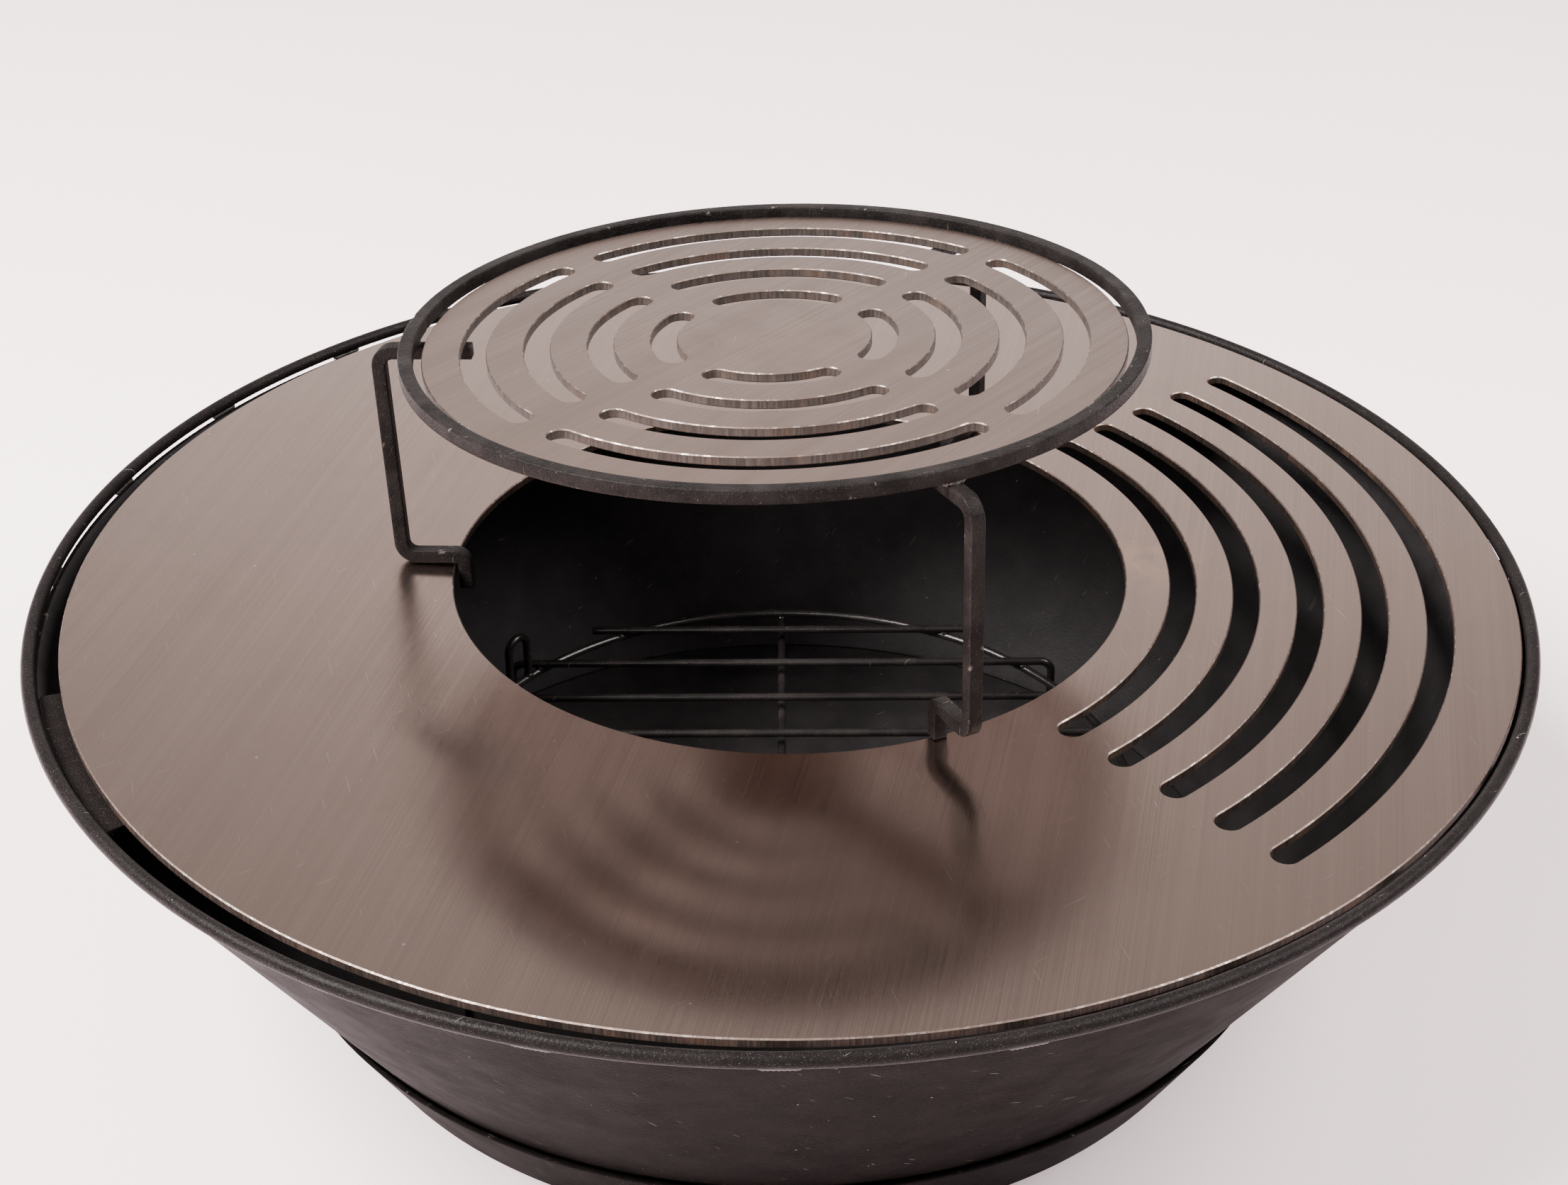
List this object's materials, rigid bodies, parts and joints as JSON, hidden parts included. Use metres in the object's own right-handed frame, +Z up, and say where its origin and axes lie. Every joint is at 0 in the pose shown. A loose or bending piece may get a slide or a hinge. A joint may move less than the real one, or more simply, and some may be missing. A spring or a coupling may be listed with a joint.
{
  "type": "tabletop fire bowl grill",
  "caption": "Conical fire bowl on a ring stand with a loose steel griddle ring, a three-legged warming rack that leans slightly and holds a slotted disc, and a wire fire grate.",
  "frame": {"origin": "on the table, on the axis of the bowl and the stand ring", "axes": "+Z up, -Y towards the front, +X towards the griddle ring's vent slots"},
  "size_m": [0.6427, 0.6428, 0.3086],
  "materials": {
    "black_coating": "textured matt black heat-resistant coating",
    "rack_coating": "textured black coating, chipped at the edges",
    "brushed_steel": "linear brushed, slightly heat tinted",
    "disc_steel": "ground, fine scratches, rusty cut edges",
    "grate_wire": "gloss black",
    "weld": "painted weld bead"
  },
  "bodies": {
    "stand": {"stand_ring": "black_coating", "stand_lug_1": "black_coating", "stand_lug_2": "black_coating", "stand_lug_3": "black_coating", "stand_lug_4": "black_coating"},
    "bowl": {"bowl_wall": "black_coating", "bowl_floor": "black_coating", "rim_rod": "black_coating", "rim_stitches": "weld", "griddle_ledge_1": "black_coating", "griddle_ledge_2": "black_coating", "griddle_ledge_3": "black_coating", "griddle_ledge_4": "black_coating"},
    "griddle": {"griddle_ring": "brushed_steel"},
    "rack": {"rack_ring": "rack_coating", "rack_leg_1": "rack_coating", "rack_leg_2": "rack_coating", "rack_leg_3": "rack_coating", "rack_weld_1": "weld", "rack_weld_2": "weld", "rack_weld_3": "weld"},
    "disc": {"slotted_disc": "disc_steel"},
    "grate": {"grate_ring": "grate_wire", "grate_cross_bar": "grate_wire", "lifting_loop": "grate_wire", "grate_bar_1": "grate_wire", "grate_bar_2": "grate_wire", "grate_bar_3": "grate_wire", "grate_bar_4": "grate_wire", "grate_bar_5": "grate_wire", "grate_bar_6": "grate_wire", "grate_bar_7": "grate_wire", "grate_bar_8": "grate_wire", "grate_bar_9": "grate_wire", "grate_bar_10": "grate_wire"}
  },
  "joints": [
    {"name": "bowl_lift", "type": "slide", "parent": "stand", "child": "bowl", "axis": [0, 0, 1], "range_m": [0, 0.15]},
    {"name": "griddle_lift", "type": "slide", "parent": "bowl", "child": "griddle", "axis": [0, 0, 1], "range_m": [0, 0.15]},
    {"name": "rack_lift", "type": "slide", "parent": "griddle", "child": "rack", "axis": [0, 0, 1], "range_m": [0, 0.12]},
    {"name": "disc_lift", "type": "slide", "parent": "rack", "child": "disc", "axis": [0, 0, 1], "range_m": [0, 0.08]},
    {"name": "grate_lift", "type": "slide", "parent": "bowl", "child": "grate", "axis": [0, 0, 1], "range_m": [0, 0.08]}
  ]
}
